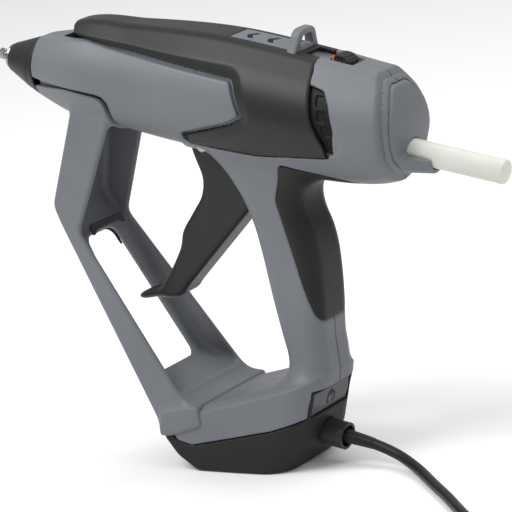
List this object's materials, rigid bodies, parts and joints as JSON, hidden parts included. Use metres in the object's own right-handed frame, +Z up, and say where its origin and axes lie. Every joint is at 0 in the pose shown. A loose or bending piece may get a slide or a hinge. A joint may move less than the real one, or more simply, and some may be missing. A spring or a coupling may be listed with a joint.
{
  "type": "glue gun",
  "caption": "Corded hot-melt glue gun: tilted barrel with a nozzle, full-hand trigger under it, rubber-backed handle, and a bow in front that joins a flat foot to stand on.",
  "frame": {"origin": "middle of the foot's flat bottom, on the surface the gun stands on", "axes": "+Z up, -X towards the nozzle, +Y towards the gun's right-hand side as the user aims it"},
  "size_m": [0.3712, 0.1323, 0.2106],
  "materials": {
    "grey_abs": "fine spark-eroded texture",
    "black_abs": "fine spark-eroded texture",
    "nickel_plated": "polished plating",
    "cast_aluminium": "as cast",
    "ceramic": "fired",
    "phenolic": "moulded",
    "silicone": "moulded",
    "steel": "zinc plated",
    "grip_rubber": "soft matt",
    "foot_rubber": "soft matt",
    "board": "solder resist",
    "wire": "insulation",
    "brass": "stamped",
    "hot_melt": "milky, slightly translucent",
    "orange_mark": "moulded",
    "cord_rubber": "matt jacket",
    "tie_fabric": "hook and loop"
  },
  "bodies": {
    "body": {"housing_left": "grey_abs", "housing_right": "grey_abs", "barrel_cover": "black_abs", "top_inlay": "grey_abs", "hanging_loop": "grey_abs", "nose_cap": "black_abs", "nozzle": "nickel_plated", "melt_chamber": "cast_aluminium", "heater_plates": "ceramic", "chamber_clamps": "phenolic", "thermal_fuse": "ceramic", "inlet_sleeve": "silicone", "stick_guide": "black_abs", "rear_cap": "grey_abs", "vent_inserts": "black_abs", "housing_screws": "steel", "trigger_pin": "steel", "trigger_spring": "steel", "handle_grip": "grip_rubber", "stand_bow": "grey_abs", "bow_pad": "grip_rubber", "base_foot": "foot_rubber", "foot_screws": "steel", "control_board": "board", "switch_body": "black_abs", "wire_loom": "wire", "cable_gland": "black_abs", "cord_lead": "cord_rubber", "cord_coil": "cord_rubber", "coil_tie": "tie_fabric", "cord_tail": "cord_rubber", "plug_body": "cord_rubber", "plug_pins": "nickel_plated"},
    "trigger_lever": {"trigger": "black_abs"},
    "carriage": {"feed_carriage": "steel", "clamp_jaw": "brass"},
    "stick": {"glue_stick": "hot_melt"},
    "adjuster": {"adjuster_knob": "black_abs", "adjuster_band": "orange_mark"},
    "rocker": {"power_rocker": "black_abs"}
  },
  "joints": [
    {"name": "trigger_pivot", "type": "hinge", "parent": "body", "child": "trigger_lever", "pos_m": [-0.00517, 0, 0.15422], "axis": [0, -1, 0], "range_deg": [0, 22], "stiffness_Nm_per_rad": 1.2, "springref_deg": -8.59},
    {"name": "feed_slide", "type": "slide", "parent": "body", "child": "carriage", "axis": [-0.9833, 0, 0.1822], "range_m": [0, 0.0063]},
    {"name": "stick_feed", "type": "slide", "parent": "body", "child": "stick", "axis": [-0.9833, 0, 0.1822], "range_m": [0, 0.0063]},
    {"name": "adjuster_slide", "type": "slide", "parent": "body", "child": "adjuster", "axis": [-0.9833, 0, 0.1822], "range_m": [0, 0.008]},
    {"name": "rocker_tilt", "type": "hinge", "parent": "body", "child": "rocker", "pos_m": [0.0382, 0, 0.0324], "axis": [0, 1, 0], "range_deg": [0, 7]}
  ],
  "couplings": [
    {"joint": "feed_slide", "follows": "trigger_pivot", "m_per_rad": 0.0162},
    {"joint": "stick_feed", "follows": "trigger_pivot", "m_per_rad": 0.0162}
  ]
}
